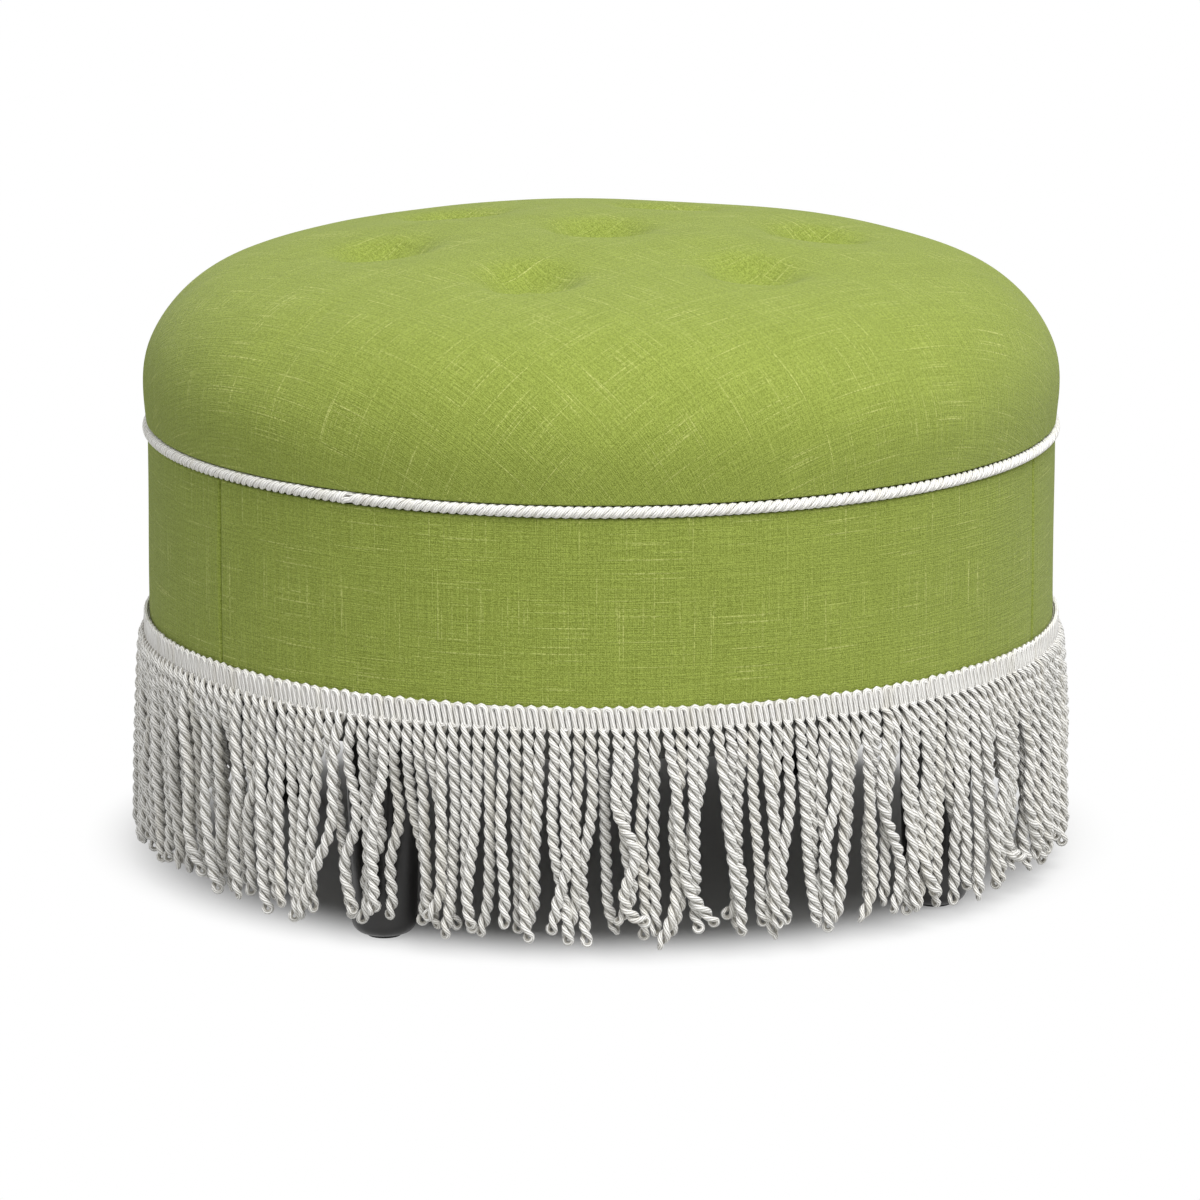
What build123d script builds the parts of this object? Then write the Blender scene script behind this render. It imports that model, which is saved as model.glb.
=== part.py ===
from build123d import *
import os
from math import asin, atan2, cos, pi, radians, sin, sqrt

# Round tufted ottoman on four screw-in legs, with a lip cord and a bullion fringe.
# Millimetres, +Z up, origin on the floor under the middle. The front faces -Y.
# Angles are in degrees, counted from the front towards +X.

# Overall sizes
body_radius = 305.0  # outside of the linen side band
leg_height = 139.5  # floor to the underside of the base board
frame_height = 158.5  # underside of the base board to the top of the deck
crown_height = 132.4  # top of the deck to the highest point of the cushion

# Frame
board_thickness = 15.0
skin_thickness = 3.0
skin_slit = 2.0  # butt joint of the bent hardboard, at the back seam
post_count = 8
post_width = 38.0
post_inset = 16.0  # edge of the boards to the outer face of a post
screw_radius = 2.0
screw_head_radius = 4.2
screw_head_height = 3.0
screw_length = 40.0
screw_spacing = 16.0  # between the two screws at each end of a post

# Legs and their fixings
leg_names = ("front_left", "front_right", "back_right", "back_left")
first_leg_angle = -32.6
leg_setback = 43.0  # outside of the band to the middle of a leg
leg_top_radius = 25.0
leg_foot_radius = 21.0
leg_foot_round = 9.0
leg_top_bevel = 1.0
bolt_radius = 4.0
bolt_in_leg = 30.0
bolt_past_nut = 5.0
bolt_bevel = 0.8
nut_barrel_radius = 5.0
nut_barrel_length = 11.0
nut_flange_radius = 11.0
nut_flange_thickness = 1.5
glide_radius = 11.0
glide_thickness = 2.0
glide_round = 0.6
glide_pin_radius = 1.5
glide_pin_length = 14.0

# Cloth, wadding and card
linen = 1.0
cambric = 0.8
card = 1.2
tape = 0.8
band_wadding_thickness = 6.0
top_wadding_thickness = 11.0
hem_drop = 13.0  # the cover's hem below the top of the deck
band_tuck = 17.0  # the band's lower edge turned under the base
seam_angles = (-54.4, 69.1, 187.4)  # upright seams of the band
seam_gap = 0.4
leg_hole_margin = 3.0

# Cushion
cushion_overhang = 2.4  # widest point of the cushion beyond the band
bulge_rise = 30.8  # top of the deck to the widest point
side_radius = 180.0  # the side draws in below the widest point
shoulder_radius = 76.6
tuft_ring_count = 6
tuft_circle = 147.0
first_tuft_angle = -18.0
tuft_depth = 18.0
tuft_round = 42.0  # radius of the bottom of a tuft
tuft_rim_round = 26.0  # radius over the rim of a tuft
button_radius = 12.0
button_edge = 1.2
button_crown = 3.2
twine_radius = 1.0
twine_in_button = 2.0
washer_radius = 10.0
washer_thickness = 2.0
knot_radius = 3.0
knot_height = 4.0

# Trimmings
rope_radius = 4.0
header_rise = 33.5  # underside of the base board to the top of the fringe's heading
header_height = 15.5
header_thickness = 3.0
strand_count = 240
strand_nodes = 6
strand_radius = 3.7
strand_length = 137.0
strand_unevenness = 4.0
strand_stand_off = 1.4  # strands hang clear of the band
staple_crown = 10.0
staple_width = 1.2
staple_wire = 0.6
staple_bite = 6.0
edge_staple_count = 36
dust_staple_count = 24

# Sections are drawn in the plane through +X, and revolved solids start there
to_front = -90.0

# Clearances
layer_gap = 0.3  # between nested soft layers
thread_clearance = 0.05
hole_clearance = 0.1
twine_clearance = 0.5

# Heights, from the floor up
base_underside = leg_height
base_top = base_underside + board_thickness
deck_top = base_underside + frame_height
deck_underside = deck_top - board_thickness
hem_bottom = deck_top - hem_drop
lip_height = deck_top + rope_radius + layer_gap  # the cover rolls over the rope here
band_top = deck_top - rope_radius - layer_gap
crown_top = deck_top + crown_height
bulge_height = deck_top + bulge_rise
header_bottom = base_underside + header_rise - header_height

# Radii, from the outside in
band_inside = body_radius - linen
band_wadding_outside = band_inside - layer_gap
band_wadding_inside = band_wadding_outside - band_wadding_thickness
skin_outside = band_wadding_inside - layer_gap
skin_inside = skin_outside - skin_thickness
board_radius = skin_inside - layer_gap
hem_outside = skin_outside + layer_gap + linen
tape_outside = hem_outside + layer_gap + tape
strip_inside = tape_outside + layer_gap
strip_outside = strip_inside + card
rope_circle = tape_outside + layer_gap + rope_radius
header_inside = body_radius + layer_gap
strand_circle = header_inside + strand_stand_off + strand_radius
tuck_inside = body_radius - band_tuck
bulge_radius = body_radius + cushion_overhang
post_circle = board_radius - post_inset - post_width / 2
leg_circle = body_radius - leg_setback

# The crown is one large arc, tangent to the shoulder's arc
shoulder_centre = bulge_radius - shoulder_radius
crown_rise = crown_top - bulge_height
crown_over_shoulder = crown_rise - shoulder_radius
crown_radius = (shoulder_centre**2 + crown_rise**2 - shoulder_radius**2) / (2 * crown_over_shoulder)
crown_centre = crown_top - crown_radius
tangent_angle = atan2(bulge_height - crown_centre, shoulder_centre)

# Inset of each layer of the cushion from the outside of the cover
wadding_inset = linen + layer_gap
wadding_inner_inset = wadding_inset + top_wadding_thickness
foam_inset = wadding_inner_inset + layer_gap


def write(node, *solids):
    """Write one node, a single solid or a group of like ones, to its STEP file."""
    shape = solids[0] if len(solids) == 1 else Compound(list(solids))
    export_step(shape, f"parts/{node}.step")


def at_angle(solid, angle):
    """Turn a solid that was made at the front round to an angle."""
    return Rot(0, 0, angle) * solid


def at_front(solid, radius, height=0.0):
    """Move a solid that was made on the axis out to the front."""
    return Pos(0, -radius, height) * solid


def turned(*outline):
    """Revolve an outline of (radius, height) points, joined by straight lines, about the axis."""
    return revolve(Plane.XZ * make_face(Polyline(*outline, close=True)), Axis.Z)


def ring(inside, outside, bottom, top):
    return turned((inside, bottom), (outside, bottom), (outside, top), (inside, top))


def disc(radius, bottom, top):
    return turned((0, bottom), (radius, bottom), (radius, top), (0, top))


def on_circle(centre_radius, centre_height, radius, angle):
    """A point of a section's arc, at an angle in radians above the horizontal."""
    return (centre_radius + radius * cos(angle), centre_height + radius * sin(angle))


def cushion(inset, foot, hemmed):
    """The cushion's round form, a given inset inside the cover, down to a foot height.

    A hemmed form steps in under its side, behind the rope, and runs down along the hem.
    """
    lower = lip_height + inset if hemmed else foot
    drop_angle = -asin((bulge_height - lower) / (side_radius - inset))
    side_centre = bulge_radius - side_radius
    side_low = on_circle(side_centre, bulge_height, side_radius - inset, drop_angle)
    side_middle = on_circle(side_centre, bulge_height, side_radius - inset, drop_angle / 2)
    widest = (bulge_radius - inset, bulge_height)
    shoulder_middle = on_circle(shoulder_centre, bulge_height, shoulder_radius - inset, tangent_angle / 2)
    shoulder_end = on_circle(0, crown_centre, crown_radius - inset, tangent_angle)
    crown_middle = on_circle(0, crown_centre, crown_radius - inset, (tangent_angle + pi / 2) / 2)
    middle_top = (0, crown_top - inset)
    hem = [(hem_outside - inset, foot), (hem_outside - inset, lower)] if hemmed else []
    outline = Polyline(middle_top, (0, foot), *hem, side_low)
    outline += ThreePointArc(side_low, side_middle, widest)
    outline += ThreePointArc(widest, shoulder_middle, shoulder_end)
    outline += ThreePointArc(shoulder_end, crown_middle, middle_top)
    return revolve(Plane.XZ * make_face(outline), Axis.Z)


def tuft_places():
    """Plan position of each tuft, and the height of the centre of its rounded bottom."""
    ring_angles = [radians(first_tuft_angle + 360 * i / tuft_ring_count) for i in range(tuft_ring_count)]
    plan = [(0.0, 0.0)] + [(tuft_circle * sin(a), -tuft_circle * cos(a)) for a in ring_angles]
    surface = [crown_centre + sqrt(crown_radius**2 - x * x - y * y) for x, y in plan]
    return [(x, y, z - tuft_depth + tuft_round) for (x, y), z in zip(plan, surface)]


def tufted(inset, foot, hemmed):
    """The cushion's form with its tufts sunk in and their rims rounded over.

    The form's own join runs between two tufts. A rim is a smaller circle than its tuft's bottom.
    """
    between_tufts = first_tuft_angle + 180 / tuft_ring_count
    form = at_angle(cushion(inset, foot, hemmed), between_tufts + to_front)
    bottom_radius = tuft_round + inset
    for place in tuft_places():
        form -= Pos(*place) * Sphere(bottom_radius)
    rims = [e for e in form.edges().filter_by(GeomType.CIRCLE) if e.radius < bottom_radius - layer_gap]
    return fillet(rims, tuft_rim_round - inset)


def twine_holes():
    """Rods along the tufting twines, from under the deck to above the cushion."""
    rod = disc(twine_radius + twine_clearance, base_top, crown_top)
    return [Pos(x, y, 0) * rod for x, y, _ in tuft_places()]


def screw(clearance=0.0):
    """A countersunk wood screw, its head's face at zero and its point downwards."""
    head = screw_head_radius + clearance
    shank = screw_radius + clearance
    return turned((0, 0), (head, 0), (shank, -screw_head_height), (shank, -screw_length), (0, -screw_length))


def post_angles():
    step = 360 / post_count
    return [first_leg_angle + step / 2 + step * i for i in range(post_count)]


def leg_angles():
    return [first_leg_angle + 360 * i / len(leg_names) for i in range(len(leg_names))]


def post_screws(downwards, clearance=0.0):
    """Two screws for each post, through the deck from above or through the base from below."""
    upright = Pos(0, 0, deck_top) if downwards else Pos(0, 0, base_underside) * Rot(180, 0, 0)
    radii = [post_circle + screw_spacing * side for side in (-0.5, 0.5)]
    return [at_angle(at_front(upright * screw(clearance), r), a) for a in post_angles() for r in radii]


def staple(leg):
    """A staple with its crown below zero, along X, and its two legs upwards."""
    crown = Pos(0, 0, -staple_wire / 2) * Box(staple_crown, staple_width, staple_wire)
    prong = Box(staple_wire, staple_width, leg, align=(Align.CENTER, Align.CENTER, Align.MIN))
    reach = (staple_crown - staple_wire) / 2
    return crown + Pos(-reach, 0, 0) * prong + Pos(reach, 0, 0) * prong


def frame_pieces():
    """Plywood base and deck, pine posts, their screws and the bent hardboard skin."""
    base = disc(board_radius, base_underside, base_top)
    nut_hole = disc(nut_barrel_radius + hole_clearance, base_underside, base_top)
    base -= [at_angle(at_front(nut_hole, leg_circle), a) for a in leg_angles()]
    base -= post_screws(False, hole_clearance)
    write("base_board", base)

    deck = disc(board_radius, deck_underside, deck_top)
    deck -= post_screws(True, hole_clearance)
    deck -= twine_holes()
    write("deck_board", deck)

    post_length = deck_underside - base_top
    post = Box(post_width, post_width, post_length, align=(Align.CENTER, Align.CENTER, Align.MIN))
    pilots = post_screws(False, hole_clearance) + post_screws(True, hole_clearance)
    for number, angle in enumerate(post_angles(), 1):
        write(f"post_{number}", at_angle(at_front(post, post_circle, base_top), angle) - pilots)
    write("base_screws", *post_screws(False))
    write("deck_screws", *post_screws(True))

    skin = ring(skin_inside, skin_outside, base_underside, deck_top)
    slit = Pos(0, 0, deck_underside) * Box(skin_slit, 4 * skin_thickness, 2 * frame_height)
    skin -= at_angle(at_front(slit, skin_outside), seam_angles[-1])
    write("side_skin", skin)


def leg_pieces():
    """Turned legs on hanger bolts, the tee nuts that take them, and nylon glides."""
    leg = turned(
        (0, glide_thickness),
        (leg_foot_radius, glide_thickness),
        (leg_top_radius, base_underside),
        (0, base_underside),
    )
    leg = fillet(leg.edges().group_by(Axis.Z)[0], leg_foot_round)
    leg = chamfer(leg.edges().group_by(Axis.Z)[-1], leg_top_bevel)
    leg -= disc(bolt_radius + thread_clearance, base_underside - bolt_in_leg, base_underside)
    leg -= disc(glide_pin_radius + hole_clearance, glide_thickness, glide_thickness + glide_pin_length)

    bolt = disc(bolt_radius, base_underside - bolt_in_leg, base_top + nut_flange_thickness + bolt_past_nut)
    bolt = chamfer(bolt.edges().filter_by(GeomType.CIRCLE), bolt_bevel)

    nut = disc(nut_flange_radius, base_top, base_top + nut_flange_thickness)
    nut += disc(nut_barrel_radius, base_top - nut_barrel_length, base_top)
    nut -= disc(bolt_radius + thread_clearance, base_underside, base_top + nut_flange_thickness)

    glide = disc(glide_radius, 0, glide_thickness)
    glide = fillet(glide.edges().group_by(Axis.Z)[0], glide_round)
    glide += disc(glide_pin_radius, glide_thickness, glide_thickness + glide_pin_length)

    for name, angle in zip(leg_names, leg_angles()):
        write(f"leg_{name}", at_angle(at_front(leg, leg_circle), angle))
        write(f"leg_{name}_bolt", at_angle(at_front(bolt, leg_circle), angle))
        write(f"leg_{name}_glide", at_angle(at_front(glide, leg_circle), angle))
    write("tee_nuts", *[at_angle(at_front(nut, leg_circle), a) for a in leg_angles()])


def cushion_pieces():
    """Foam, wadding and linen cover, one inside the other, all sunk at the tufts."""
    foam = tufted(foam_inset, deck_top, False) - twine_holes()
    write("foam_core", foam)
    below_deck_top = deck_top - layer_gap
    wadding = tufted(wadding_inset, deck_top, True) - tufted(wadding_inner_inset, below_deck_top, False)
    write("top_wadding", wadding - twine_holes())
    below_hem = hem_bottom - layer_gap
    cover = tufted(0.0, hem_bottom, True) - tufted(linen, below_hem, True)
    write("top_cover", cover - twine_holes())


def tuft_pieces():
    """Covered buttons in the tufts, their twines and the washers that these are tied off on."""
    seat = tuft_round - layer_gap
    rim = -sqrt(seat**2 - button_radius**2)
    seat_middle = on_circle(0, 0, seat, -pi / 2 + asin(button_radius / seat) / 2)
    dome_radius = (button_radius**2 + button_crown**2) / (2 * button_crown)
    dome_centre = rim + button_edge + button_crown - dome_radius
    dome_middle = on_circle(0, dome_centre, dome_radius, pi / 2 - asin(button_radius / dome_radius) / 2)
    outline = ThreePointArc((0, -seat), seat_middle, (button_radius, rim))
    outline += Line((button_radius, rim), (button_radius, rim + button_edge))
    outline += ThreePointArc((button_radius, rim + button_edge), dome_middle, (0, dome_centre + dome_radius))
    outline += Line((0, dome_centre + dome_radius), (0, -seat))
    button = revolve(Plane.XZ * make_face(outline), Axis.Z)
    button -= disc(twine_radius + hole_clearance, -tuft_round, -seat + twine_in_button)
    write("tuft_buttons", *[Pos(*place) * button for place in tuft_places()])

    washer_underside = deck_underside - washer_thickness
    washer = ring(twine_radius + twine_clearance, washer_radius, washer_underside, deck_underside)
    write("tuft_washers", *[Pos(x, y, 0) * washer for x, y, _ in tuft_places()])

    twines = []
    for x, y, z in tuft_places():
        twine = disc(twine_radius, washer_underside, z - seat + twine_in_button)
        twine += disc(knot_radius, washer_underside - knot_height, washer_underside)
        twines.append(Pos(x, y, 0) * twine)
    write("tuft_twines", *twines)


def band_pieces():
    """Side wadding and the three linen panels, turned in at the top and under the base."""
    bottom = base_underside + layer_gap
    top = hem_bottom - layer_gap
    write("band_wadding", ring(band_wadding_inside, band_wadding_outside, bottom, top))

    section = make_face(
        Polyline(
            (tuck_inside, base_underside - linen),
            (body_radius, base_underside - linen),
            (body_radius, band_top),
            (strip_inside, band_top),
            (strip_inside, band_top - linen),
            (band_inside, band_top - linen),
            (band_inside, base_underside),
            (tuck_inside, base_underside),
            close=True,
        )
    )
    half_seam = 180 / pi * seam_gap / 2 / body_radius
    starts = [angle + half_seam for angle in seam_angles]
    ends = [angle - half_seam for angle in seam_angles[1:] + (seam_angles[0] + 360,)]
    for name, start, end in zip(("front", "right", "left"), starts, ends):
        panel = revolve(Plane.XZ * section, Axis.Z, end - start)
        write(f"band_panel_{name}", at_angle(panel, start + to_front))


def trim_pieces():
    """Lip cord with its tape, card strip and staples, and the fringe's heading and strands."""
    strip_top = band_top - linen - layer_gap
    write("tack_strip", ring(strip_inside, strip_outside, hem_bottom, strip_top))
    write("rope_tape", ring(hem_outside + layer_gap, tape_outside, hem_bottom, deck_top))
    write("rope_trim", Pos(0, 0, deck_top) * Torus(rope_circle, rope_radius))

    edge_staple = Rot(-90, 0, 0) * staple(strip_outside - board_radius + staple_bite)
    height = (hem_bottom + strip_top) / 2
    angles = [360 * i / edge_staple_count for i in range(edge_staple_count)]
    write("edge_staples", *[at_angle(at_front(edge_staple, strip_outside, height), a) for a in angles])

    header_outside = header_inside + header_thickness
    write("fringe_header", ring(header_inside, header_outside, header_bottom, header_bottom + header_height))

    per_node = strand_count // strand_nodes
    for node in range(strand_nodes):
        strands = [strand(node * per_node + i) for i in range(per_node)]
        write(f"fringe_strands_{node + 1}", *strands)


def strand(number):
    """One bullion strand, a limp cord with a round end, hung under the heading."""
    length = strand_length + strand_unevenness * sin(2.4 * number)
    end = (0, -length)
    bend_middle = on_circle(0, strand_radius - length, strand_radius, -pi / 4)
    bend_start = (strand_radius, strand_radius - length)
    outline = Polyline(end, (0, 0), (strand_radius, 0), bend_start)
    outline += ThreePointArc(bend_start, bend_middle, end)
    cord = revolve(Plane.XZ * make_face(outline), Axis.Z)
    return at_angle(at_front(cord, strand_circle, header_bottom), 360 * number / strand_count)


def dust_cover_pieces():
    """Grey cambric under the base, cut out round the legs and turned up to the heading, and its staples."""
    top = base_underside - linen
    cover_outside = header_inside + cambric
    cover = disc(cover_outside, top - cambric, top)
    cover += ring(header_inside, cover_outside, top, header_bottom - layer_gap)
    leg_hole = disc(leg_top_radius + leg_hole_margin, top - cambric, top)
    cover -= [at_angle(at_front(leg_hole, leg_circle), a) for a in leg_angles()]
    write("dust_cover", cover)

    step = 360 / dust_staple_count
    angles = [first_leg_angle + step * (i + 0.5) for i in range(dust_staple_count)]
    fixing = staple(linen + cambric + staple_bite)
    radius = (tuck_inside + board_radius) / 2
    write("dust_cover_staples", *[at_angle(at_front(fixing, radius, top - cambric), a) for a in angles])


os.makedirs("parts", exist_ok=True)
frame_pieces()
leg_pieces()
cushion_pieces()
tuft_pieces()
band_pieces()
trim_pieces()
dust_cover_pieces()
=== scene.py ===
import bpy
import numpy as np
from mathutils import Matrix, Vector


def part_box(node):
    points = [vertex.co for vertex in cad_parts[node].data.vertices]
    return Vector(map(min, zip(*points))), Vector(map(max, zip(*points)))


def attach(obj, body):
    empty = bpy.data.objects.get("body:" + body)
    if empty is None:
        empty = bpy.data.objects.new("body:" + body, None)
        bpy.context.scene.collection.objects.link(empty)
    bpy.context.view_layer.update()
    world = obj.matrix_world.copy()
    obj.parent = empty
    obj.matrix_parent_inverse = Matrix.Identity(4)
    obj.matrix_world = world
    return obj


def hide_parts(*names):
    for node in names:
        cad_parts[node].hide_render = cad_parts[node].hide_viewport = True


# Round tufted ottoman: a linen cushion and side band on a wooden frame, with a lip cord and a bullion
# fringe. Metres, +Z up. The front faces -Y, and angles are counted from the front towards +X.
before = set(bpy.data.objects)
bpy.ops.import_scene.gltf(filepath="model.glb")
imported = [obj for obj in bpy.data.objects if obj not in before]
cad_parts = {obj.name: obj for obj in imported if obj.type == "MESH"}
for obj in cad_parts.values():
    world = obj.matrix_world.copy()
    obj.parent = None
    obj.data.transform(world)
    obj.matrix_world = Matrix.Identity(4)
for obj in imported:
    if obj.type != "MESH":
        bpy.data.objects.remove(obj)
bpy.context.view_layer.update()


# Studio: a pale floor that keeps the ottoman's soft shadow and turns plain white further out, a white
# surround, and one large soft lamp high up in front, to the right.
class Wire:
    """A shader socket. Sums and products of it add Math nodes, and node() adds any other node."""

    def __init__(self, tree, socket=None):
        self.tree = tree
        self.socket = socket

    def node(self, kind, settings=None, sockets=None, out=0):
        """Add a node, its settings first, then its sockets' values or links, and give one output."""
        made = self.tree.nodes.new(kind)
        for name, value in (settings or {}).items():
            setattr(made, name, value)
        for name, value in (sockets or {}).items():
            if isinstance(value, Wire):
                self.tree.links.new(value.socket, made.inputs[name])
            else:
                made.inputs[name].default_value = value
        return Wire(self.tree, made.outputs[out])

    def into(self, shader, socket):
        """Link this value to a shader's socket."""
        self.tree.links.new(self.socket, shader.inputs[socket])

    def math(self, operation, *others):
        """A Math node on this value and any others."""
        return self.node("ShaderNodeMath", {"operation": operation}, dict(enumerate((self, *others))))

    def __add__(self, other):
        return self.math("ADD", other)

    __radd__ = __add__

    def __mul__(self, other):
        return self.math("MULTIPLY", other)

    __rmul__ = __mul__

    def sine(self):
        return self.math("SINE")

    def step(self, low, high):
        """0 below low, 1 above high, with a smooth rise between them."""
        limits = {"Value": self, "From Min": low, "From Max": high}
        return self.node("ShaderNodeMapRange", {"interpolation_type": "SMOOTHSTEP"}, limits)

    def between(self, first, second):
        """The mix of two colours, by this value."""
        return self.node("ShaderNodeMix", {"data_type": "RGBA"}, {0: self, 6: first, 7: second}, 2)

    def noise(self, stretch, detail=2.0, roughness=0.5):
        """Noise on these coordinates, which are first multiplied by a factor along each axis."""
        place = self.node("ShaderNodeMapping", None, {"Vector": self, "Scale": stretch})
        grain = {"Vector": place, "Scale": 1.0, "Detail": detail, "Roughness": roughness}
        return self.node("ShaderNodeTexNoise", None, grain)

    def emboss(self, shader, strength, depth):
        """Raise a shader's surface by this value, times a depth in metres."""
        relief = {"Strength": strength, "Distance": depth, "Height": self}
        self.node("ShaderNodeBump", None, relief).into(shader, "Normal")


def shade(red, green, blue):
    """A colour written in the usual 0 to 255 steps, as the linear values that shaders take."""
    steps = np.array([red, green, blue]) / 255
    linear = np.where(steps <= 0.04045, steps / 12.92, ((steps + 0.055) / 1.055) ** 2.4)
    return (*linear.tolist(), 1.0)


def seen_by_camera(start):
    """1 for what the camera sees, also by reflection or through glass, and 0 for other light."""
    kinds = ("Is Camera Ray", "Is Glossy Ray", "Is Transmission Ray")
    straight, mirrored, through = (start.node("ShaderNodeLightPath", out=kind) for kind in kinds)
    return straight.math("MAXIMUM", mirrored.math("MAXIMUM", through))


white = (1.0, 1.0, 1.0, 1.0)
surround_light = 0.58
world = bpy.data.worlds.new("surround")
bpy.context.scene.world = world
world.use_nodes = True
background = world.node_tree.nodes["Background"]
background.inputs["Color"].default_value = white
seen = seen_by_camera(Wire(world.node_tree))
(seen * (1 - surround_light) + surround_light).into(background, "Strength")

floor_reach = 9.0
shadow_centre = (0.0, 0.05, 0.0)
shadow_reach = (0.26, 0.36)  # the shadow shows in full inside the first and fades out by the second
front_edge = [(-floor_reach, -floor_reach, 0), (floor_reach, -floor_reach, 0)]
floor_mesh = bpy.data.meshes.new("floor")
floor_mesh.from_pydata(front_edge + [(-x, -y, z) for x, y, z in front_edge], [], [(0, 1, 2, 3)])
floor = bpy.data.objects.new("floor", floor_mesh)
bpy.context.scene.collection.objects.link(floor)
pale = bpy.data.materials.new("pale_floor")
pale.use_nodes = True
pale.node_tree.nodes.clear()
ground = Wire(pale.node_tree)
ends = {0: ground.node("ShaderNodeTexCoord", out="Object"), 1: shadow_centre}
distance = ground.node("ShaderNodeVectorMath", {"operation": "DISTANCE"}, ends, "Value")
seen = seen_by_camera(ground)
paper_shade = seen.between(shade(196, 196, 194), shade(216, 216, 215))
paper = ground.node("ShaderNodeBsdfDiffuse", None, {"Color": paper_shade})
glow = ground.node("ShaderNodeEmission", None, {"Color": white, "Strength": 1.0})
past_shadow = distance.step(*shadow_reach) * seen
mixed = ground.node("ShaderNodeMixShader", None, {0: past_shadow, 1: paper, 2: glow})
mixed.into(pale.node_tree.nodes.new("ShaderNodeOutputMaterial"), "Surface")
floor_mesh.materials.append(pale)

lamp = bpy.data.lights.new("key_lamp", "AREA")
lamp.shape = "DISK"
lamp.size = 2.4
lamp.energy = 148.0
lamp_holder = bpy.data.objects.new("key_lamp", lamp)
lamp_holder.location = (0.9, -1.95, 3.6)
lamp_holder.rotation_euler = (np.radians(32.5), 0.0, np.radians(24.8))  # aimed at the cushion
bpy.context.scene.collection.objects.link(lamp_holder)

lens = bpy.data.cameras.new("camera")
lens.sensor_width = 36.0
lens.lens = 213.9
lens.shift_x = -0.001
camera = bpy.data.objects.new("camera", lens)
camera.location = (0.0, -4.7098, 1.2155)
camera.rotation_euler = (np.radians(77.533), 0.0, 0.0)
bpy.context.scene.collection.objects.link(camera)
bpy.context.scene.camera = camera
bpy.context.scene.view_settings.view_transform = "Standard"


# Legs: turned hardwood in black lacquer, each on a hanger bolt that screws into the base, with a
# nylon glide nailed into its foot. All three keep their solids' shapes.
def coated(name, **fixed):
    """A new material whose fixed values are set on the shader's own sockets, and a wire to start from."""
    material = bpy.data.materials.new(name)
    material.use_nodes = True
    shader = material.node_tree.nodes["Principled BSDF"]
    for socket, value in fixed.items():
        shader.inputs[socket.replace("_", " ")].default_value = value
    return material, shader, Wire(material.node_tree)


def grained(name, dark, light, stretch, gloss, relief, **fixed):
    """A finish that runs between two shades along a grain: noise on Object coordinates, squeezed along
    each axis, drives the colour, the roughness between two limits and a shallow relief."""
    material, shader, start = coated(name, **fixed)
    grain = start.node("ShaderNodeTexCoord", out="Object").noise(stretch, detail=4.0, roughness=0.6)
    contrast = grain.step(0.3, 0.7)
    contrast.between(dark, light).into(shader, "Base Color")
    (gloss[0] + (gloss[1] - gloss[0]) * contrast).into(shader, "Roughness")
    grain.emboss(shader, 0.5, relief)
    return material


def dress(material, *nodes):
    """Give nodes that keep their solids' shapes a finish."""
    for node in nodes:
        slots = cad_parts[node].data.materials
        slots.clear()
        slots.append(material)


leg_names = ("front_left", "front_right", "back_right", "back_left")
black_lacquer = grained(
    "black_lacquer", shade(10, 8, 7), shade(20, 16, 13),
    stretch=(160, 160, 14), gloss=(0.28, 0.42), relief=0.0001, Coat_Weight=0.2,
)
nylon = grained(
    "nylon", shade(24, 24, 25), shade(36, 36, 37),
    stretch=(500, 500, 500), gloss=(0.5, 0.65), relief=0.00005,
)
zinc = grained(
    "zinc_steel", shade(150, 152, 152), shade(196, 197, 194),
    stretch=(420, 420, 420), gloss=(0.3, 0.5), relief=0.00003, Metallic=1.0,
)
dress(black_lacquer, *[f"leg_{name}" for name in leg_names])
dress(zinc, *[f"leg_{name}_bolt" for name in leg_names])
dress(nylon, *[f"leg_{name}_glide" for name in leg_names])

# Frame: a plywood base and deck on eight pine posts, screwed from above and below, with hardboard bent
# round them. The upholstery hides all of it.
plywood = grained(
    "plywood", shade(186, 148, 103), shade(214, 180, 134),
    stretch=(18, 320, 700), gloss=(0.6, 0.75), relief=0.0002,
)
pine = grained(
    "pine", shade(196, 156, 100), shade(226, 196, 146),
    stretch=(240, 240, 9), gloss=(0.55, 0.7), relief=0.0002,
)
hardboard = grained(
    "hardboard", shade(88, 59, 38), shade(112, 79, 53),
    stretch=(600, 600, 600), gloss=(0.6, 0.8), relief=0.0001,
)
post_count = 8
dress(plywood, "base_board", "deck_board")
dress(pine, *[f"post_{post + 1}" for post in range(post_count)])
dress(hardboard, "side_skin")
dress(zinc, "base_screws", "deck_screws", "tee_nuts")


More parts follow.
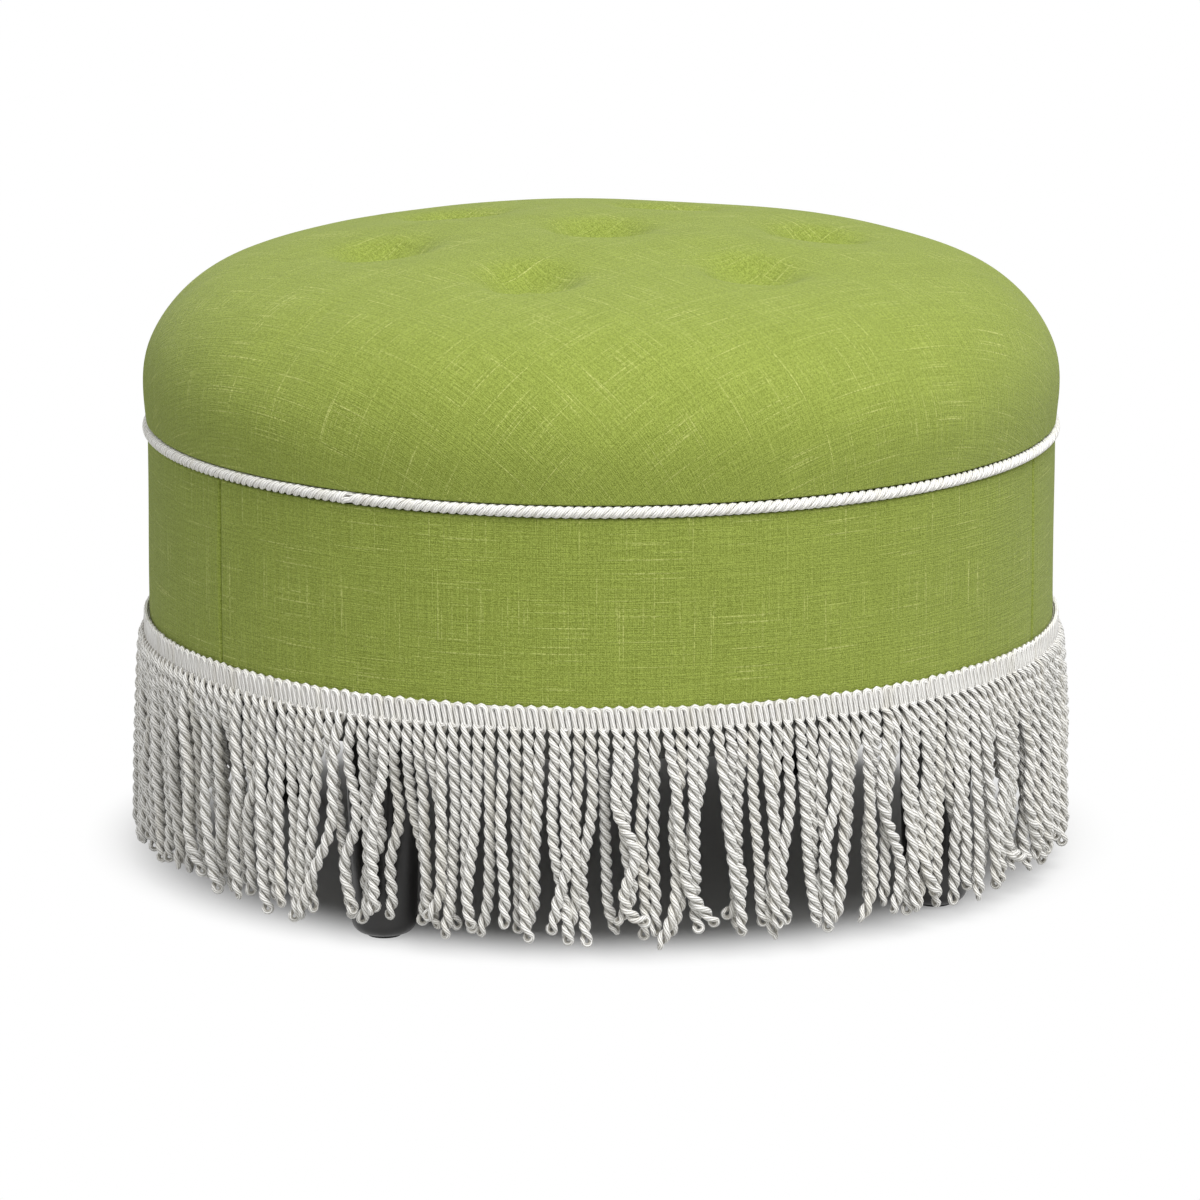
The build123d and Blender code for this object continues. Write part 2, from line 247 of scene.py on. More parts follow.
# Cushion: one circle of green slub linen drawn over wadding and a crowned foam block, pulled down at
# seven tufts and stapled below the lip. The cloth puffs up between the tufts.
def linen_finish(name, coordinates):
    """Slub linen on a map in metres: a plain weave of uneven yarns, each a little lighter or darker than
    the next, and a few long thick pale ones along both directions. All of it is noise, squeezed to so
    many streaks in a metre along each axis."""
    material, shader, start = coated(
        name, Sheen_Weight=0.08, Sheen_Roughness=0.5, Specular_IOR_Level=0.15, Roughness=0.85
    )
    cloth = start.node("ShaderNodeTexCoord", out=coordinates)
    yarn_up = cloth.noise((950, 22, 22)).step(0.36, 0.64)
    yarn_over = cloth.noise((30, 1100, 30)).step(0.36, 0.64)
    yarn = yarn_up * 0.45 + yarn_over * 0.55
    fibre = cloth.noise((1300, 1300, 1300), detail=1.0).step(0.32, 0.68)
    patch = cloth.noise((14, 14, 14), detail=3.0)
    broken = cloth.noise((480, 480, 480), roughness=0.7).step(0.34, 0.66)
    slub_up = cloth.noise((900, 14, 14), detail=0.0).step(0.69, 0.8)
    slub_over = cloth.noise((16, 900, 16), detail=0.0).step(0.69, 0.8)
    slubs = slub_up.math("MAXIMUM", slub_over) * broken
    light = yarn * 0.24 + fibre * 0.44 + broken * 0.24 + patch * 0.08
    ground_shade = light.between(shade(101, 114, 35), shade(169, 184, 88))
    (slubs * 0.8).between(ground_shade, shade(198, 204, 122)).into(shader, "Base Color")
    (yarn + fibre * 0.4 + slubs * 0.5).emboss(shader, 0.6, 0.0006)
    return material


def new_piece(name, points, faces, corner_map, material):
    """A smooth-shaded mesh from whole arrays: points, a list of face arrays and every corner's UV."""
    mesh = bpy.data.meshes.new(name)
    corners = np.concatenate([block.ravel() for block in faces])
    sizes = np.concatenate([np.full(len(block), block.shape[1]) for block in faces])
    starts = np.concatenate([[0], np.cumsum(sizes)[:-1]])
    mesh.vertices.add(len(points))
    mesh.vertices.foreach_set("co", np.ascontiguousarray(points, np.float32).ravel())
    mesh.loops.add(len(corners))
    mesh.loops.foreach_set("vertex_index", corners.astype(np.int32))
    mesh.polygons.add(len(sizes))
    mesh.polygons.foreach_set("loop_start", starts.astype(np.int32))
    mesh.update(calc_edges=True)
    mesh.validate()
    layer = mesh.uv_layers.new(name="cloth")
    layer.data.foreach_set("uv", np.ascontiguousarray(corner_map, np.float32).ravel())
    mesh.shade_smooth()
    mesh.materials.append(material)
    piece = bpy.data.objects.new(name, mesh)
    bpy.context.scene.collection.objects.link(piece)
    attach(piece, "seat")
    return piece


def arc(centre, radius, start, end, count=120):
    """Points (radius, height) of a section's arc, between two angles above the horizontal."""
    angle = np.linspace(start, end, count)
    return np.stack([centre[0] + radius * np.cos(angle), centre[1] + radius * np.sin(angle)], -1)


def run_of(line):
    """How far along a section's line each of its points (radius, height) is."""
    return np.concatenate([[0], np.cumsum(np.linalg.norm(np.diff(line, axis=0), axis=1))])


def on_line(line, distance):
    """Points (radius, height) at given distances along a section's line."""
    run = run_of(line)
    return np.stack([np.interp(distance, run, line[:, k]) for k in (0, 1)], -1)


def cells(grid):
    """The values at the four corners of every cell of a grid, in turn round the cell."""
    corners = [grid[..., :-1, :-1], grid[..., :-1, 1:], grid[..., 1:, 1:], grid[..., 1:, :-1]]
    return np.stack(corners, -1)


def disc_grid(rings):
    """A square grid laid on a disc: the squares round the middle become circles. Gives each point's ring
    and its direction, which shares out each side of its square evenly by angle, and the faces."""
    line = np.arange(-rings, rings + 1.0)
    x, y = (side.ravel() for side in np.meshgrid(line, line))
    wide = np.abs(x) >= np.abs(y)
    big = np.where(wide, x, y)
    share = np.where(wide, y, x) / np.where(big == 0, 1, big) * np.pi / 4
    turn = np.where(wide, share, np.pi / 2 - share)
    direction = np.sign(big)[:, None] * np.stack([np.cos(turn), np.sin(turn)], -1)
    number = np.arange(x.size).reshape(len(line), -1)
    return np.abs(big), direction, cells(number).reshape(-1, 4)


def tuft_depth_at(plan, tufts):
    """How far the cloth is drawn down at plan points: a round bottom that turns over into a round rim.
    Gives the distance to the nearest tuft too."""
    depth, bottom, rim = 0.018, 0.042, 0.026  # the last two are the radii of those rounds
    reach = np.sqrt((bottom + rim) ** 2 - (bottom - depth + rim) ** 2)
    turn_over = reach * bottom / (bottom + rim)
    away = np.linalg.norm(plan[:, None] - tufts[None], axis=2).min(axis=1)
    bowl = depth - bottom + np.sqrt(np.maximum(bottom**2 - away**2, 0))
    lip = rim - np.sqrt(np.maximum(rim**2 - (reach - away) ** 2, 0))
    return np.where(away < turn_over, bowl, np.where(away < reach, lip, 0)), away


def bell(distance, width):
    """1 at no distance, falling off on both sides by the square of the distance over the width."""
    return np.exp(-((distance / width) ** 2))


def wrapped(angle):
    """Angles brought to between minus and plus half a turn."""
    return np.mod(angle + np.pi, 2 * np.pi) - np.pi


cover_low, cover_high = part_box("top_cover")
deck_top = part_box("deck_board")[1].z
widest, hem_bottom = cover_high.x, cover_low.z
crown_top = deck_top + 0.1324
bulge_height = deck_top + 0.0308
lip_height = deck_top + 0.0043
side_radius, shoulder_radius = 0.18, 0.0766
hem_radius, hem_thickness, clearance = 0.2987, 0.001, 0.0003
shoulder_centre = widest - shoulder_radius
rise = crown_top - bulge_height
crown_radius = (shoulder_centre**2 + rise**2 - shoulder_radius**2) / (2 * (rise - shoulder_radius))
crown_centre = crown_top - crown_radius
tangent = np.arctan2(bulge_height - crown_centre, shoulder_centre)
tuck_angle = np.arcsin((bulge_height - lip_height) / side_radius)
outline = np.concatenate([
    arc((0, crown_centre), crown_radius, np.pi / 2, tangent),
    arc((shoulder_centre, bulge_height), shoulder_radius, tangent, 0),
    arc((widest - side_radius, bulge_height), side_radius, 0, -tuck_angle),
])
lip_at = run_of(outline)[-1]
outline = np.concatenate([outline, [(hem_radius, lip_height - clearance), (hem_radius, hem_bottom)]])
hem_at = run_of(outline)[-1]
hem_inside = hem_radius - hem_thickness
outline = np.concatenate([outline, [(hem_inside, hem_bottom), (hem_inside, deck_top + clearance)]])
underside_at = run_of(outline)[-1]

tuft_circle, edge_strip = 0.147, 0.08  # no tuft draws the cloth down in the strip next to the lip
tuft_angles = np.radians(-18 + 60 * np.arange(6))
tuft_ring = tuft_circle * np.stack([np.sin(tuft_angles), -np.cos(tuft_angles)], -1)
tufts = np.concatenate([[(0, 0)], tuft_ring])
rings = 74
ring, direction, quads = disc_grid(rings)
above, below = 0.006, 0.0062  # the cloth is gridded more finely this far above and below the lip
ring_places = [0, lip_at - above, lip_at, lip_at + below, hem_at, hem_at + hem_thickness, underside_at]
cloth_at = np.interp(ring, [0, 60, 64, 66, 72, 73, rings], ring_places)
section = on_line(outline, cloth_at)
points = np.concatenate([direction * section[:, :1], section[:, 1:]], 1)
sink, from_tuft = tuft_depth_at(points[:, :2], tufts)
points[:, 2] -= np.where(cloth_at < lip_at - edge_strip, sink, 0)
bias = np.radians(48)  # the cloth lies with its yarns aslant to the front
turn = np.array([[np.cos(bias), np.sin(bias)], [-np.sin(bias), np.cos(bias)]])
flat_map = (direction * cloth_at[:, None]) @ turn

green_linen = linen_finish("green_linen", "UV")
cushion = new_piece("cushion", points, [quads], flat_map[quads.ravel()], green_linen)

held_round, held_strip = 0.012, 0.003  # stitched this near to a tuft's middle and to the lip
last_frame, most_puff, smoothings = 20, 0.006, 20
still_round, still_strip, ease = 0.01, 0.002, 0.02
pins = cushion.vertex_groups.new(name="stitched")
held = np.flatnonzero((from_tuft < held_round) | (cloth_at > lip_at - held_strip))
pins.add(held.tolist(), 1.0, "REPLACE")
cloth = cushion.modifiers.new("Cloth", "CLOTH")
cloth.settings.vertex_group_mass = "stitched"
cloth.settings.use_pressure = True
cloth.settings.uniform_pressure_force = 4.0
cloth.settings.effector_weights.gravity = 0.0
cloth.settings.tension_stiffness = 25.0
cloth.settings.compression_stiffness = 25.0
cloth.point_cache.frame_start, cloth.point_cache.frame_end = 1, last_frame
for number in range(1, last_frame + 1):
    bpy.context.scene.frame_set(number)
evaluated = cushion.evaluated_get(bpy.context.evaluated_depsgraph_get())
puffed = bpy.data.meshes.new_from_object(evaluated)
moved = np.empty(points.size, np.float32)
puffed.vertices.foreach_get("co", moved)
shift = moved.reshape(-1, 3) - points
length = np.linalg.norm(shift, axis=1, keepdims=True)
field = (shift * np.minimum(1, most_puff / np.maximum(length, 1e-9))).reshape(2 * rings + 1, -1, 3)
for _ in range(smoothings):
    beside = field[:-2, 1:-1] + field[2:, 1:-1] + field[1:-1, :-2] + field[1:-1, 2:]
    field[1:-1, 1:-1] = (field[1:-1, 1:-1] + beside / 4) / 2
free = np.clip((from_tuft - still_round) / ease, 0, 1)
free = free * np.clip((lip_at - still_strip - cloth_at) / ease, 0, 1)
points = points + field.reshape(-1, 3) * free[:, None]
cushion.modifiers.clear()
cushion.vertex_groups.clear()
bpy.context.scene.frame_set(1)
bpy.data.meshes.remove(puffed)

gather_width, gather_height, lip_roll = 0.01, 0.014, 0.001  # the width is in radians
drawn_count = 44
clear_gathers = np.radians([13, 17, 21, 26, 30, 36])
clear_depths = np.full(len(clear_gathers), 0.0012)
chance = np.random.default_rng(3)
gathers = np.concatenate([clear_gathers, chance.uniform(-np.pi, np.pi, drawn_count)])
gather_depths = np.concatenate([clear_depths, chance.uniform(0.0002, 0.0009, drawn_count)])
bearing = np.arctan2(direction[:, 0], -direction[:, 1])
dents = (gather_depths * bell(wrapped(bearing[:, None] - gathers), gather_width)).sum(axis=1)
above_lip = np.where(cloth_at <= lip_at + lip_roll, bell(lip_at - cloth_at, gather_height), 0)
points[:, :2] -= direction * (dents * above_lip)[:, None]
cushion.data.vertices.foreach_set("co", points.astype(np.float32).ravel())
cushion.data.update()
smooth = cushion.modifiers.new("Smooth", "SUBSURF")
smooth.levels = smooth.render_levels = 1
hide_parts("top_cover", "top_wadding", "foam_core")

# Tufts: a linen-covered button at the bottom of each, tied down with twine through the foam and the deck
# to a washer underneath.
button_linen = linen_finish("button_linen", "Object")
twine = grained(
    "twine", shade(176, 158, 122), shade(212, 198, 166),
    stretch=(900, 900, 260), gloss=(0.8, 0.95), relief=0.0003,
)
dress(button_linen, "tuft_buttons")
dress(twine, "tuft_twines")
dress(zinc, "tuft_washers")


# Side band: three linen panels over thin wadding, sewn together at upright seams, turned in over a card
# strip at the top and stapled under the base at the bottom.
def outwards(angle):
    """Unit vectors away from the middle, at angles from the front."""
    return np.stack([np.sin(angle), -np.cos(angle), 0 * angle], -1)


def thicken(piece, thickness):
    """Give a sheet its thickness, inwards from the face that shows."""
    wall = piece.modifiers.new("Thickness", "SOLIDIFY")
    wall.thickness, wall.offset = thickness, -1.0


band_radius = 0.305
band_low, band_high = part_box("band_panel_front")
turned_under, turned_in, fold = 0.288, 0.3004, 0.0018  # radii of the two edges, and of the folds
band_line = np.concatenate([
    [(turned_under, band_low.z)],
    arc((band_radius - fold, band_low.z + fold), fold, -np.pi / 2, 0, count=9),
    arc((band_radius - fold, band_high.z - fold), fold, 0, np.pi / 2, count=9),
    [(turned_in, band_high.z)],
])
band_girth = run_of(band_line)[-1]
under_end, upright_start, upright_end = 0.0152, 0.0182, band_girth - 0.0065
rows = np.unique(np.concatenate([
    np.linspace(0, under_end, 6), np.linspace(under_end, upright_start, 7),
    np.linspace(upright_start, upright_end, 46), np.linspace(upright_end, band_girth, 10),
]))
near_seam = np.array([0, 0.0003, 0.0007, 0.0012, 0.0018, 0.0026])
seam_strip, seam_width, set_in = 0.004, 0.0011, 0.0003
seam_angles = np.radians([-54.4, 69.1, 187.4, 305.6])
seam_depths = (0.0022, 0.0026, 0.0022, 0.0022)
for index, panel_name in enumerate(("front", "right", "left")):
    first, last = seam_angles[index : index + 2]
    width = (last - first) * band_radius
    between_seams = np.linspace(seam_strip, width - seam_strip, 200)
    columns = np.concatenate([near_seam, between_seams, width - near_seam[::-1]])
    column, row = np.meshgrid(columns, rows)
    angle = first + column / band_radius
    section = on_line(band_line, row.ravel()).reshape(*row.shape, 2)
    pinch = seam_depths[index] * bell(column, seam_width)
    pinch = pinch + seam_depths[index + 1] * bell(width - column, seam_width)
    ripple = 0.00022 * np.sin(9 * angle + 40 * row) + 0.00015 * np.sin(23 * angle - 25 * row + 1)
    points = outwards(angle) * (section[..., :1] - pinch[..., None] + ripple[..., None] - set_in)
    points[..., 2] = section[..., 1]
    quads = cells(np.arange(column.size).reshape(column.shape)).reshape(-1, 4)
    flat_map = np.stack([angle * band_radius, row], -1).reshape(-1, 2)[quads.ravel()]
    panel = new_piece(
        f"band_{panel_name}", points.reshape(-1, 3), [quads], flat_map, green_linen
    )
    thicken(panel, 0.0008)
    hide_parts(f"band_panel_{panel_name}")
    if panel_name == "front":
        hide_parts("band_wadding")

# Fixings of the side: a card strip in the band's top fold, and staples of zinc-plated wire, along the
# lip behind the band and along the edge of the base.
card = grained(
    "card", shade(166, 138, 100), shade(196, 168, 128),
    stretch=(300, 300, 40), gloss=(0.8, 0.9), relief=0.0001,
)
dress(card, "tack_strip")
dress(zinc, "edge_staples", "dust_cover_staples")


# Lip cord: three plies of ivory yarn laid up to the right, sewn to a tape that is stapled between the
# cushion and the band. Its two ends meet at the front left.
def trim_finish(name, sheen, crevice_painted_shade, groove_painted_shade, ridge):
    """Twisted rayon on a map that goes once round a ply, from its outer side, and along it in metres. The
    size of a sine shades the yarns that wind along the ply, from a painted shade in the dips between
    yarns up to the ridge colour, noise frays and tints them, and the side of a ply that faces the others
    gets a painted shade for the hollow between plies."""
    yarn_count, yarn_wind = 6, 190  # yarns round a ply, and the radians that they wind in a metre
    material, shader, start = coated(
        name, Sheen_Weight=sheen, Sheen_Roughness=0.4, Specular_IOR_Level=0.5, Roughness=0.42
    )
    ply_place = start.node("ShaderNodeTexCoord", out="UV")
    place = start.node("ShaderNodeTexCoord", out="Object")
    across, along = (start.node("ShaderNodeSeparateXYZ", None, {0: ply_place}, k) for k in ("X", "Y"))
    fuzz = place.noise((800, 800, 800))
    yarns = (across * (np.pi * yarn_count) + along * yarn_wind + fuzz * 1.2).sine().math("ABSOLUTE")
    # painted shade: the side of each ply that faces the other plies is darkened to the crevice colour,
    # standing in for the shade between plies
    outer = (across * (2 * np.pi) + np.pi / 2).sine().step(-0.75, 0.1)
    # painted shade: the dips between yarns take the darker groove colour, standing in for the shade there
    yarns_with_painted_shade = (yarns.step(0.05, 0.65) * 0.85 + fuzz * 0.15).between(groove_painted_shade, ridge)
    tint = place.noise((110, 110, 7)).step(0.45, 0.75) * 0.28
    tinted = tint.between(yarns_with_painted_shade, shade(206, 199, 178))
    outer.between(crevice_painted_shade, tinted).into(shader, "Base Color")
    (yarns * 0.8 + fuzz * 0.2).emboss(shader, 0.8, 0.0008)
    return material


def unit(vectors):
    """Vectors at length 1."""
    return vectors / np.linalg.norm(vectors, axis=-1, keepdims=True)


def square_to(run, vectors):
    """Vectors less their part along a run of length 1, at length 1."""
    return unit(vectors - (vectors * run).sum(-1, keepdims=True) * run)


def tube(line, across, radius, closed=False):
    """Carry a circle along lines. Each ring lies square to its line's run, and its first point is on the
    side that across points to. line and across have the shape (lines, rings, 3). Gives points, faces and
    the UV of every corner, which is the share of the way round and the metres along."""
    sides = 8
    if closed:
        run = unit(np.roll(line, -1, 1) - np.roll(line, 1, 1))
    else:
        run = unit(np.gradient(line, axis=1))
    side = square_to(run, across)
    other = np.cross(run, side)
    turn = 2 * np.pi * np.arange(sides) / sides
    spread = np.cos(turn)[:, None] * side[:, :, None] + np.sin(turn)[:, None] * other[:, :, None]
    points = line[:, :, None] + np.broadcast_to(radius, line.shape[:2])[:, :, None, None] * spread

    lines, count = line.shape[:2]
    number = np.arange(lines * count * sides).reshape(lines, count, sides)
    if closed:
        number = np.concatenate([number, number[:, :1]], 1)
        line = np.concatenate([line, line[:, :1]], 1)
    steps = np.linalg.norm(np.diff(line, axis=1), axis=2)
    length = np.concatenate([np.zeros((lines, 1)), np.cumsum(steps, axis=1)], 1)
    ring = np.concatenate([number, number[:, :, :1]], 2)
    u = np.broadcast_to(np.arange(sides + 1) / sides, ring.shape)
    v = np.broadcast_to(length[:, :, None], ring.shape)
    faces = [cells(ring).reshape(-1, 4)]
    corner_maps = [np.stack([cells(u), cells(v)], -1).reshape(-1, 2)]
    if not closed:
        chart = np.stack([u, v], -1)[:, :, :-1]
        faces += [number[:, 0, ::-1], number[:, -1]]
        corner_maps += [chart[:, 0, ::-1].reshape(-1, 2), chart[:, -1].reshape(-1, 2)]
    return points.reshape(-1, 3), faces, np.concatenate(corner_maps)


# The crevice and groove colours are painted shade, for the hollows between plies and between yarns.
ivory_trim = trim_finish(
    "ivory_trim", 0.1,
    crevice_painted_shade=shade(138, 132, 126), groove_painted_shade=shade(216, 212, 206), ridge=shade(255, 254, 251),
)
upright = np.array([0, 0, 1.0])
rope_low, rope_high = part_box("rope_trim")
rope_height = (rope_low.z + rope_high.z) / 2
rope_circle = rope_high.x - (rope_high.z - rope_low.z) / 2
rope_turns, rope_plies, rope_ply_radius, rope_ply_offset = 104, 3, 0.00195, 0.0021
rope_steps = rope_turns * 14
join_angle = np.radians(-32.4)
join_lump, lump_reach = 0.15, 0.005  # the plies bulge at the join by this share
join_slip, slip_reach = 1.6, 0.004  # and slip in their lay by these radians
angle = np.arange(rope_steps) * 2 * np.pi / rope_steps
from_join = wrapped(angle - join_angle) * rope_circle
lay = rope_turns * angle + join_slip * bell(from_join, slip_reach)
phase = lay + 2 * np.pi * np.arange(rope_plies)[:, None] / rope_plies
out = outwards(angle)
lean = np.cos(phase)[..., None] * out + np.sin(phase)[..., None] * upright
middle = out * rope_circle + upright * rope_height
spread_by = rope_ply_offset * (1 + join_lump * bell(from_join, lump_reach))
plies = middle + lean * spread_by[:, None]
points, faces, corner_map = tube(plies, lean, rope_ply_radius, closed=True)
rope = new_piece("lip_cord", points, faces, corner_map, ivory_trim)
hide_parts("rope_trim", "rope_tape")

# Fringe heading: a soft cord wound up and down in narrow loops and bound with threads onto a tape, which
# is glued round the band. Each pair of neighbouring loop legs runs on into one strand.
header_low, header_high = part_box("fringe_header")
strand_count = 240
cord_radius, cord_circle = 0.00178, 0.3072
slant = 0.16  # the loops lean, to the right downwards
leg_turn = np.pi / strand_count  # angle between two legs
leg_gap = leg_turn * cord_circle
loop_top = header_high.z - cord_radius - leg_gap / 2
loop_bottom = header_low.z + 0.0012
leg_heights = loop_bottom + (loop_top - loop_bottom) * np.array([0, 0.35, 0.7])
bend = np.linspace(0, np.pi, 5)
sideways = np.concatenate([[-1, -1, -1], -np.cos(bend), [1, 1, 1], 2 - np.cos(bend[1:-1])]) * leg_gap / 2
height = np.concatenate([
    leg_heights,
    loop_top + np.sin(bend) * leg_gap / 2,
    leg_heights[::-1],
    loop_bottom - np.sin(bend[1:-1]) * leg_gap / 2,
])
in_bend = height > loop_top
chance = np.random.default_rng(5)
wobble = chance.normal(0, 0.00035, (strand_count, 1))
sideways = sideways + slant * (loop_top - height) + wobble * in_bend
height = height + chance.normal(0, 0.0003, (strand_count, 1)) * in_bend
angle = (np.arange(strand_count)[:, None] * 2 + 1) * leg_turn + sideways / cord_circle
out = outwards(angle.ravel())
line = out * cord_circle + upright * height.reshape(-1, 1)
points, faces, corner_map = tube(line[None], out[None], cord_radius, closed=True)
heading = new_piece("fringe_heading", points, faces, corner_map, ivory_trim)
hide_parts("fringe_header")

# The tape is painted darker all over, as painted shade for the slits between the heading's loops, and its
# crevice and groove colours are painted shade too.
tape_in_painted_shade = trim_finish(
    "tape_in_painted_shade", 0.1,
    crevice_painted_shade=shade(170, 167, 158), groove_painted_shade=shade(190, 187, 178), ridge=shade(214, 211, 202),
)
tape_inner, tape_outer, tape_bottom, tape_top = 0.3052, 0.3058, 0.1578, 0.1712
tape_line = np.array([
    (tape_inner, tape_bottom), (tape_outer, tape_bottom), (tape_outer, tape_top), (tape_inner, tape_top),
])
tape_steps, tape_corners = 480, len(tape_line)
map_steps, map_height = 8.0, 0.004  # steps to once round a ply on the map, and metres to a corner
out = outwards(np.arange(tape_steps) * 2 * np.pi / tape_steps)
points = out[:, None] * tape_line[:, :1] + upright * tape_line[:, 1:]
number = np.arange(tape_steps * tape_corners).reshape(tape_steps, tape_corners)
ahead = np.roll(number, -1, 0)
quads = np.stack([number, ahead, np.roll(ahead, -1, 1), np.roll(number, -1, 1)], -1).reshape(-1, 4)
corner_map = np.stack([(quads // tape_corners) / map_steps, (quads % tape_corners) * map_height], -1)
new_piece("heading_tape", points.reshape(-1, 3), [quads], corner_map, tape_in_painted_shade)


# Fringe strands: each is one soft cord doubled and twisted on itself, so it ends in a small loop. They
# hang from the heading, lean on each other, cross and spread a little at the floor.
def sway(fall, size, turns, count, chance):
    """Sine waves down strands, with a size, a number of turns and a start drawn for each strand."""
    sizes = chance.normal(0, size, (count, 1))
    waves = chance.uniform(*turns, (count, 1)) * fall
    return sizes * np.sin(2 * np.pi * (waves + chance.random((count, 1))))


def hang(count, levels, circle, width, chance):
    """Where limp strands hang: each leans and waves a little, neighbours draw together in small groups,
    and strands that would lie in each other are pushed apart, sideways or to the front, until they about
    touch. Gives how far each strand has gone sideways and outwards at each level."""
    fall = np.linspace(0, 1, levels)
    spacing = 2 * np.pi * circle / count
    index = np.arange(count)
    group = np.repeat(index, chance.integers(1, 3, count))[:count]
    members = np.bincount(group)
    middle = (np.bincount(group, index) / np.maximum(members, 1))[group]
    pull = chance.uniform(0, 0.4, len(members))[group]
    drift = chance.normal(0, 0.0035, len(members))[group]
    lean = (middle - index) * spacing * pull + drift + chance.normal(0, 0.005, count)

    cross_share, cross_reach, cross_out = 0.22, 1.5, 0.006  # the reach is in spacings
    crosses = chance.random(count) < cross_share
    lean = lean + np.where(crosses, np.sign(chance.normal(0, 1, count)) * spacing * cross_reach, 0)
    wave = sway(fall, 0.0032, (0.8, 2.0), count, chance)
    curl_share, tip_start, tip_reach = 0.2, 0.8, 0.2
    curls = chance.random(count) < curl_share
    curl = np.where(curls, chance.uniform(-0.01, 0.01, count), chance.normal(0, 0.003, count))
    tip = np.clip((fall - tip_start) / tip_reach, 0, 1) ** 2
    side = lean[:, None] * fall**1.4 + wave * fall**0.5 + curl[:, None] * tip

    behind_share, behind_out, flare = 0.28, -0.008, 0.001
    behind = np.where(chance.random((count, 1)) < behind_share, behind_out, 0)
    layer = np.where(crosses[:, None], cross_out, behind) + chance.normal(0, 0.0045, (count, 1))
    out = flare * fall + layer * fall**0.7
    out = out + sway(fall, 0.0015, (0.6, 1.2), count, chance) * fall

    stiffness, rounds, step, out_step = 6.0, 60, 0.45, 1.3
    touch, set_free = width * 0.84, 12  # strands may press in this near, and part below the heading
    innermost, outermost = np.where(fall < 0.16, 0.0, -0.011), 0.006
    bend = np.diff(np.eye(levels), 2, axis=0)
    soften = np.linalg.inv(np.eye(levels) + stiffness * bend.T @ bend)
    side_wish, out_wish = side, out
    for _ in range(rounds):
        for apart in (1, 2, 3, 4):
            gap_side = apart * spacing + np.roll(side, -apart, 0) - side
            gap_out = np.roll(out, -apart, 0) - out
            gap = np.hypot(gap_side, gap_out) + 1e-9
            push = step * np.maximum(0, touch - gap) / gap * np.minimum(1, fall * set_free)
            side = side - push * gap_side + np.roll(push * gap_side, apart, 0)
            out = out - push * gap_out * out_step + np.roll(push * gap_out * out_step, apart, 0)
        side = side_wish + (side - side_wish) @ soften
        out = np.clip(out_wish + (out - out_wish) @ soften, innermost, outermost)
        side[:, 0], out[:, 0] = 0, 0
    return side, out


# The crevice and groove colours are painted shade, for the hollows between plies and between yarns.
strand_trim = trim_finish(
    "strand_trim", 0.45,
    crevice_painted_shade=shade(178, 174, 164), groove_painted_shade=shade(162, 158, 147), ridge=shade(255, 254, 251),
)
hang_circle, levels, bundles = 0.3096, 80, 6
ply_radius, ply_offset = 0.00208, 0.0019
strand_width = 2 * (ply_radius + ply_offset)
strand_length, mean_lay = 0.135, 0.0188
chance = np.random.default_rng(21)
strand = np.arange(strand_count)
side, out_by = hang(strand_count, levels, hang_circle, strand_width, chance)
length = strand_length + 0.004 * np.sin(2.4 * strand) + chance.normal(0, 0.002, strand_count)
down = length[:, None] * np.linspace(0, 1, levels)
steps = np.diff(down) ** 2 - np.diff(side) ** 2 - np.diff(out_by) ** 2
drops = np.cumsum(np.sqrt(np.maximum(steps, 1e-9)), axis=1)
drop = np.concatenate([np.zeros((strand_count, 1)), drops], 1)
start_inside, start_reach = hang_circle - cord_circle - 0.0004, 0.004
radius = hang_circle + out_by - start_inside * np.exp(-down / start_reach)
sideways = side + slant * (loop_top - loop_bottom)
angle = strand[:, None] * 2 * leg_turn + sideways / hang_circle
out = outwards(angle)
axis = out * radius[..., None]
axis[..., 2] = loop_bottom - drop
run = unit(np.gradient(axis, axis=1))
face = square_to(run, out)
onwards = np.stack([np.cos(angle), np.sin(angle), 0 * angle], -1)
beside = np.cross(face, run)
beside = beside * np.sign((beside * onwards).sum(2, keepdims=True))

lay_length = mean_lay * chance.normal(1, 0.08, (strand_count, 1))
twist_reach, top_reach, end_reach = 0.02, 0.0045, 0.009
twist = chance.uniform(-np.pi / 2, np.pi / 2, (strand_count, 1)) * (1 - np.exp(-down / twist_reach))
phase = np.pi / 2 + 2 * np.pi * down / lay_length + twist
lean = np.cos(phase)[..., None] * face + np.sin(phase)[..., None] * beside
near_top = np.exp(-down / top_reach)
near_end = np.clip((down - length[:, None] + end_reach) / end_reach, 0, 1)
open_by = ply_offset * (1 + 0.38 * near_top + 0.4 * near_end)
thick = ply_radius * (1 - 0.4 * near_top - 0.25 * near_end)
there = axis + lean * open_by[..., None]
back = axis - lean * open_by[..., None]
bend = np.linspace(0, np.pi, 7)[1:-1, None]
bend_lean = np.cos(bend) * lean[:, -1:] + np.sin(bend) * run[:, -1:]
loop_end = axis[:, -1:] + bend_lean * open_by[:, -1:, None]
line = np.concatenate([there, loop_end, back[:, ::-1]], 1)
across = np.concatenate([lean, bend_lean, -lean[:, ::-1]], 1)
thick = np.concatenate([thick, np.repeat(thick[:, -1:], len(bend), 1), thick[:, ::-1]], 1)
per_bundle = strand_count // bundles
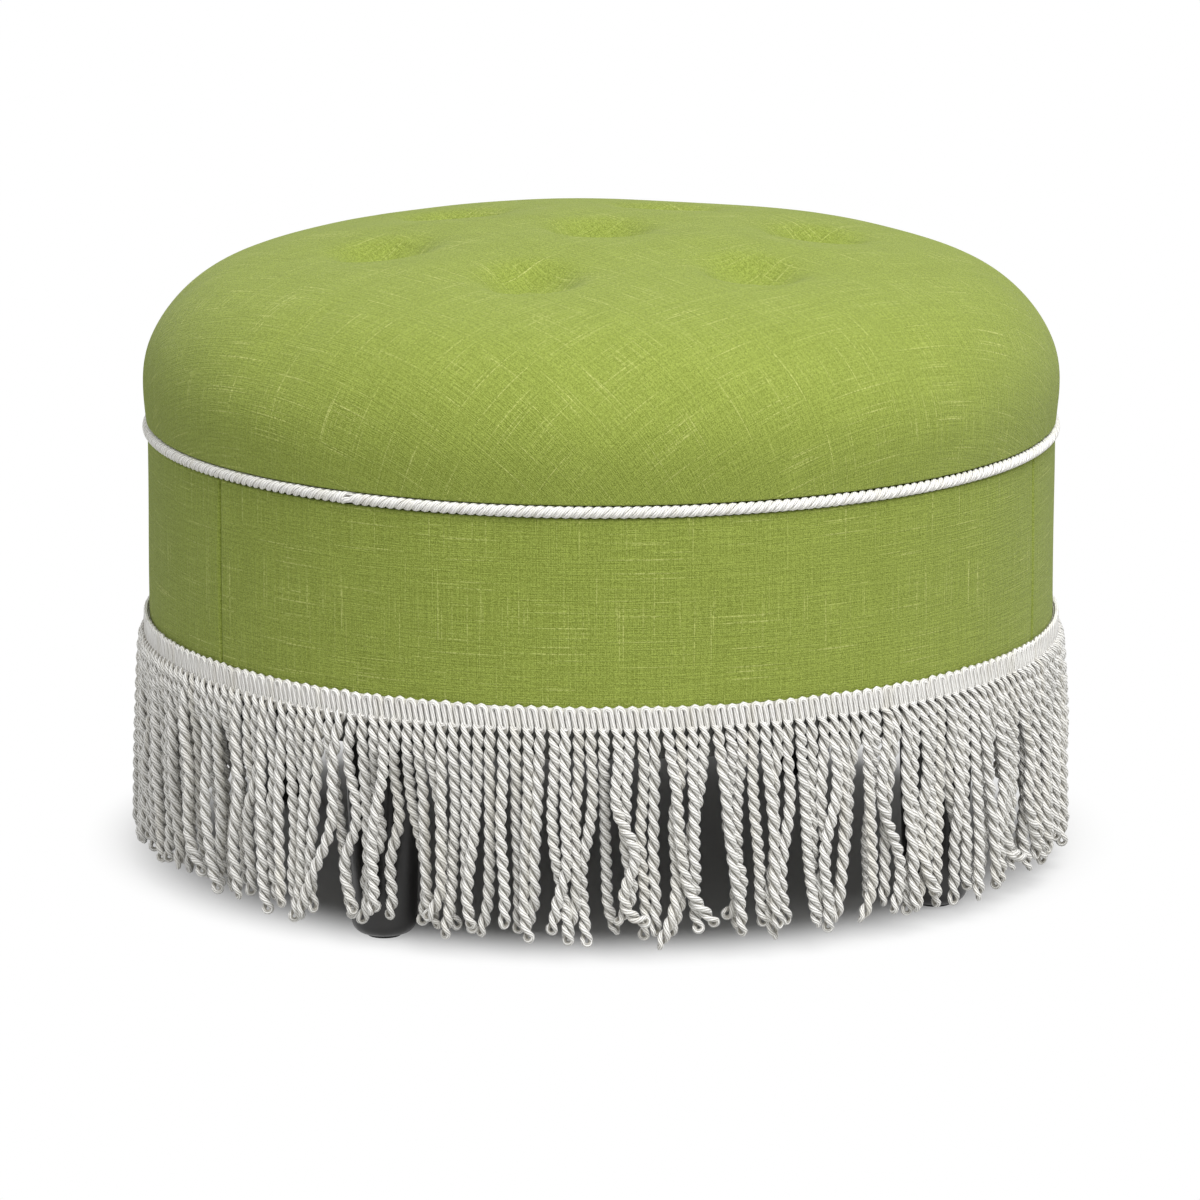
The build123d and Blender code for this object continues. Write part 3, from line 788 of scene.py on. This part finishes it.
for number in range(bundles):
    some = slice(number * per_bundle, (number + 1) * per_bundle)
    points, faces, corner_map = tube(line[some], across[some], thick[some])
    strands = new_piece(f"strands_{number + 1}", points, faces, corner_map, strand_trim)
    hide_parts(f"fringe_strands_{number + 1}")

# Dust cover: grey cambric under the base, cut out round the legs, turned up round the edge to the
# fringe's heading and stapled from below. It sags a little in the middle.
cambric = grained(
    "grey_cambric", shade(74, 74, 72), shade(100, 100, 97),
    stretch=(900, 900, 900), gloss=(0.85, 0.95), relief=0.0002,
)
under_low, under_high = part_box("dust_cover")
leg_boxes = [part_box(f"leg_{name}") for name in leg_names]
leg_places = np.array([[(low.x + high.x) / 2, (low.y + high.y) / 2] for low, high in leg_boxes])
leg_hole, hole_snap = 0.028, 0.0026  # points as near as the second to a hole's edge are moved onto it
under_radius, under_fold, most_sag = under_high.x - 0.0001, 0.0015, 0.003
under_line = np.concatenate([
    [(0, under_low.z)],
    arc((under_radius - under_fold, under_low.z + under_fold), under_fold, -np.pi / 2, 0, count=9),
    [(under_radius, under_high.z)],
])
under_reach = run_of(under_line)[-1]
rings = 108
ring, direction, quads = disc_grid(rings)
ring_places = [0, under_radius - 2 * under_fold, under_radius + under_fold, under_reach]
cloth_at = np.interp(ring, [0, 92, 100, rings], ring_places)
section = on_line(under_line, cloth_at)
plan = direction * section[:, :1]
for centre in leg_places:
    away = plan - centre
    gap = np.linalg.norm(away, axis=1, keepdims=True)
    cell_gap = np.linalg.norm(plan[quads].mean(1) - centre, axis=1)
    quads = quads[cell_gap > leg_hole]
    close = np.abs(gap - leg_hole) < hole_snap
    plan = np.where(close, centre + away / np.maximum(gap, 1e-9) * leg_hole, plan)
used, quads = np.unique(quads, return_inverse=True)
quads = quads.reshape(-1, 4)[:, ::-1]
plan, height = plan[used], section[used, 1:]
from_middle = np.linalg.norm(plan, axis=1, keepdims=True)
sag = most_sag * np.maximum(0, 1 - (from_middle / under_radius) ** 2)
points = np.concatenate([plan, height - sag], 1)
flat_map = (direction * cloth_at[:, None])[used]
under = new_piece("dust_cloth", points, [quads], flat_map[quads.ravel()], cambric)
thicken(under, 0.0005)
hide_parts("dust_cover")
